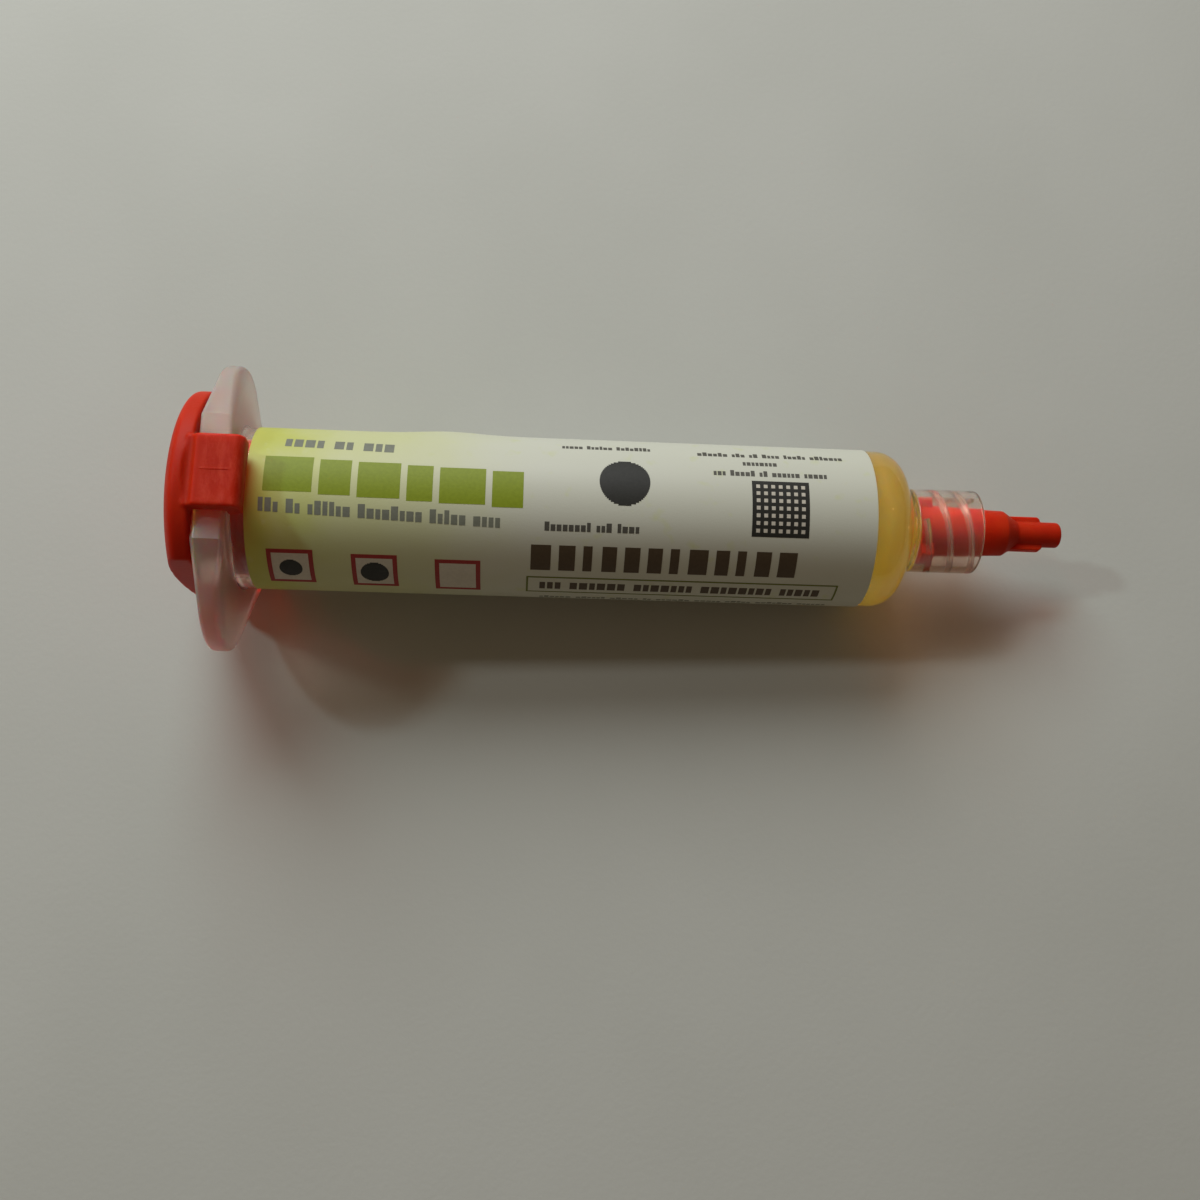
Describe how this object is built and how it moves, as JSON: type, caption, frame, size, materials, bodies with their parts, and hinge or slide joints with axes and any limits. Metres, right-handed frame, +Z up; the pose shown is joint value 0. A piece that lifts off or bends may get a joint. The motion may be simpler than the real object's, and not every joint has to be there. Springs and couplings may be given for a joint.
{
  "type": "flux syringe",
  "caption": "Clear flux syringe with an eared flange, a paper label, a clip-on end cap and a winged tip cap, lying on its side.",
  "frame": {"origin": "on the floor under the middle of the whole length and width", "axes": "+X towards the nozzle along the floor, +Y along the ears, +Z up; the barrel's own axis dips 3.17 degrees below +X, because the syringe lies on its lower clip and its nose"},
  "size_m": [0.1026, 0.0332, 0.0263],
  "materials": {
    "clear_plastic": "milky clear polypropylene, moulded gloss",
    "label_paper": "satin printed paper",
    "flux_gel": "amber gel behind the clear wall",
    "piston_plastic": "matte moulded polyethylene",
    "cap_plastic": "red-orange polyethylene, satin moulded",
    "tip_plastic": "red-orange polyethylene, satin moulded"
  },
  "bodies": {
    "barrel": {"barrel": "clear_plastic", "label": "label_paper", "flux": "flux_gel"},
    "piston": {"piston": "piston_plastic"},
    "end_cap": {"end_cap": "cap_plastic"},
    "tip_cap": {"tip_cap": "tip_plastic"}
  },
  "joints": [
    {"name": "piston_slide", "type": "slide", "parent": "barrel", "child": "piston", "axis": [0.9985, 0, -0.0553], "range_m": [0, 0.0505], "deforming": ["flux"]},
    {"name": "end_cap_pull", "type": "slide", "parent": "barrel", "child": "end_cap", "axis": [-0.9985, 0, 0.0553], "range_m": [0, 0.016], "deforming": ["end_cap"]},
    {"name": "tip_cap_pull", "type": "slide", "parent": "barrel", "child": "tip_cap", "axis": [0.9985, 0, -0.0553], "range_m": [0, 0.014]}
  ]
}
